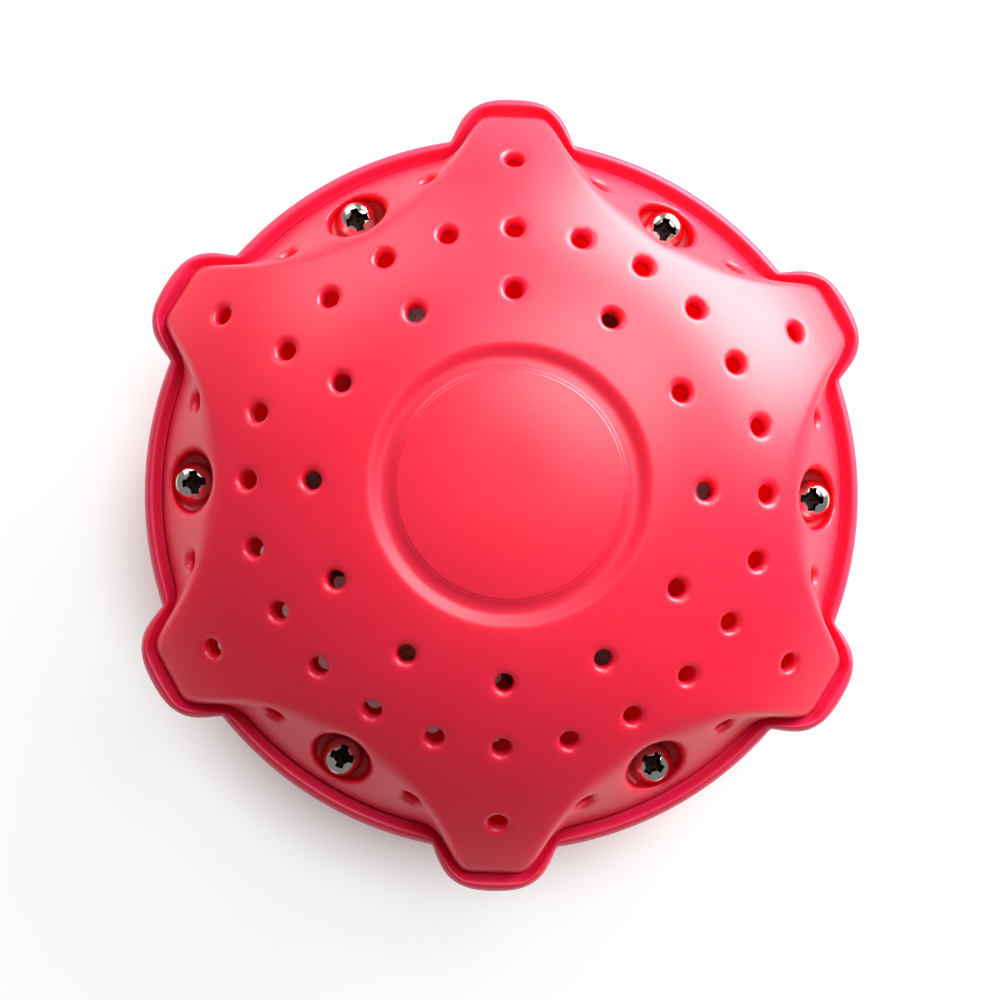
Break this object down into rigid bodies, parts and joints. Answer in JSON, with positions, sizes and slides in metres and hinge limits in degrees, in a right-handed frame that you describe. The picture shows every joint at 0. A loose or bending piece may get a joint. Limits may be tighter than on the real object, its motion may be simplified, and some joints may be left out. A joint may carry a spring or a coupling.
{
  "type": "laundry ball",
  "caption": "Flat six-armed laundry ball of two perforated domes round a soft bumper ring, screwed together over a loose charge of ceramic beads.",
  "frame": {"origin": "centre of the ball, on the parting plane between the two domes", "axes": "+Z is the ball's axis, from the lower dome towards the dome with the screw pockets; +X points through the middle of a valley"},
  "size_m": [0.0944, 0.104, 0.04],
  "materials": {
    "red_shell": "satin moulded polypropylene",
    "red_bumper": "satin soft elastomer",
    "screw_steel": "bright nickel plate",
    "white_ceramic": "matt",
    "grey_ceramic": "matt",
    "tan_ceramic": "matt"
  },
  "bodies": {
    "lower_half": {"lower_shell": "red_shell", "bumper_ring": "red_bumper"},
    "upper_half": {"upper_shell": "red_shell"},
    "screw_1": {"screw_1": "screw_steel"},
    "screw_2": {"screw_2": "screw_steel"},
    "screw_3": {"screw_3": "screw_steel"},
    "screw_4": {"screw_4": "screw_steel"},
    "screw_5": {"screw_5": "screw_steel"},
    "screw_6": {"screw_6": "screw_steel"},
    "bead_charge": {"bead_01": "white_ceramic", "bead_02": "grey_ceramic", "bead_03": "tan_ceramic", "bead_04": "white_ceramic", "bead_05": "grey_ceramic", "bead_06": "tan_ceramic", "bead_07": "white_ceramic", "bead_08": "grey_ceramic", "bead_09": "tan_ceramic", "bead_10": "white_ceramic", "bead_11": "grey_ceramic", "bead_12": "tan_ceramic", "bead_13": "white_ceramic", "bead_14": "grey_ceramic", "bead_15": "tan_ceramic", "bead_16": "white_ceramic", "bead_17": "grey_ceramic", "bead_18": "tan_ceramic", "bead_19": "white_ceramic", "bead_20": "grey_ceramic", "bead_21": "tan_ceramic", "bead_22": "white_ceramic", "bead_23": "grey_ceramic", "bead_24": "tan_ceramic", "bead_25": "white_ceramic", "bead_26": "grey_ceramic", "bead_27": "tan_ceramic", "bead_28": "white_ceramic", "bead_29": "grey_ceramic", "bead_30": "tan_ceramic", "bead_31": "white_ceramic", "bead_32": "grey_ceramic", "bead_33": "tan_ceramic", "bead_34": "white_ceramic", "bead_35": "grey_ceramic", "bead_36": "tan_ceramic", "bead_37": "white_ceramic"}
  },
  "joints": [
    {"name": "upper_half_lift", "type": "slide", "parent": "lower_half", "child": "upper_half", "axis": [0, 0, 1], "range_m": [0, 0.05]},
    {"name": "screw_1_out", "type": "slide", "parent": "upper_half", "child": "screw_1", "axis": [0, 0, 1], "range_m": [0, 0.02]},
    {"name": "screw_2_out", "type": "slide", "parent": "upper_half", "child": "screw_2", "axis": [0, 0, 1], "range_m": [0, 0.02]},
    {"name": "screw_3_out", "type": "slide", "parent": "upper_half", "child": "screw_3", "axis": [0, 0, 1], "range_m": [0, 0.02]},
    {"name": "screw_4_out", "type": "slide", "parent": "upper_half", "child": "screw_4", "axis": [0, 0, 1], "range_m": [0, 0.02]},
    {"name": "screw_5_out", "type": "slide", "parent": "upper_half", "child": "screw_5", "axis": [0, 0, 1], "range_m": [0, 0.02]},
    {"name": "screw_6_out", "type": "slide", "parent": "upper_half", "child": "screw_6", "axis": [0, 0, 1], "range_m": [0, 0.02]},
    {"name": "bead_rattle", "type": "slide", "parent": "lower_half", "child": "bead_charge", "axis": [0, 0, 1], "range_m": [0, 0.022]}
  ]
}
